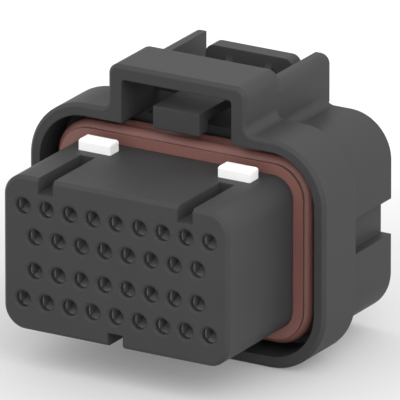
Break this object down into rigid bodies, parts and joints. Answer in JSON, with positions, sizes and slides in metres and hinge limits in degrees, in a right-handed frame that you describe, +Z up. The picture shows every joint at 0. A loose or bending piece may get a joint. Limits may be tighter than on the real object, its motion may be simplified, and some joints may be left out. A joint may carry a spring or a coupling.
{
  "type": "sealed electrical connector socket",
  "caption": "Sealed rectangular socket connector for a wiring harness, with a thumb latch under a portal, silicone seals, a white lock plate and a snap-in rear cover.",
  "frame": {"origin": "middle of the contact grid on the mating face", "axes": "+X across the long rows of contacts, +Y from the mating face back towards the wires, +Z up towards the latch"},
  "size_m": [0.0384, 0.0322, 0.0324],
  "materials": {
    "housing_plastic": "moulded, satin black",
    "cover_plastic": "moulded, satin black",
    "seal_silicone": "smooth brown-red silicone",
    "lock_plastic": "moulded, white",
    "contact_metal": "tin plated, folded strip"
  },
  "bodies": {
    "connector": {"housing": "housing_plastic", "contact_block": "housing_plastic", "interface_seal": "seal_silicone", "wire_seal": "seal_silicone", "rear_cover": "cover_plastic", "contact_01": "contact_metal", "contact_02": "contact_metal", "contact_03": "contact_metal", "contact_04": "contact_metal", "contact_05": "contact_metal", "contact_06": "contact_metal", "contact_07": "contact_metal", "contact_08": "contact_metal", "contact_09": "contact_metal", "contact_10": "contact_metal", "contact_11": "contact_metal", "contact_12": "contact_metal", "contact_13": "contact_metal", "contact_14": "contact_metal", "contact_15": "contact_metal", "contact_16": "contact_metal", "contact_17": "contact_metal", "contact_18": "contact_metal", "contact_19": "contact_metal", "contact_20": "contact_metal", "contact_21": "contact_metal", "contact_22": "contact_metal", "contact_23": "contact_metal", "contact_24": "contact_metal", "contact_25": "contact_metal", "contact_26": "contact_metal", "contact_27": "contact_metal", "contact_28": "contact_metal", "contact_29": "contact_metal", "contact_30": "contact_metal", "contact_31": "contact_metal", "contact_32": "contact_metal", "contact_33": "contact_metal", "contact_34": "contact_metal"},
    "latch": {"latch_lever": "housing_plastic"},
    "lock": {"secondary_lock_plate": "lock_plastic"}
  },
  "joints": [
    {"name": "latch_press", "type": "hinge", "parent": "connector", "child": "latch", "pos_m": [0, 0.0214, 0.0143], "axis": [-1, 0, 0], "range_deg": [0, 8], "stiffness_Nm_per_rad": 0.05},
    {"name": "lock_slide", "type": "slide", "parent": "connector", "child": "lock", "axis": [0, 0, -1], "range_m": [0, 0.0013]}
  ]
}
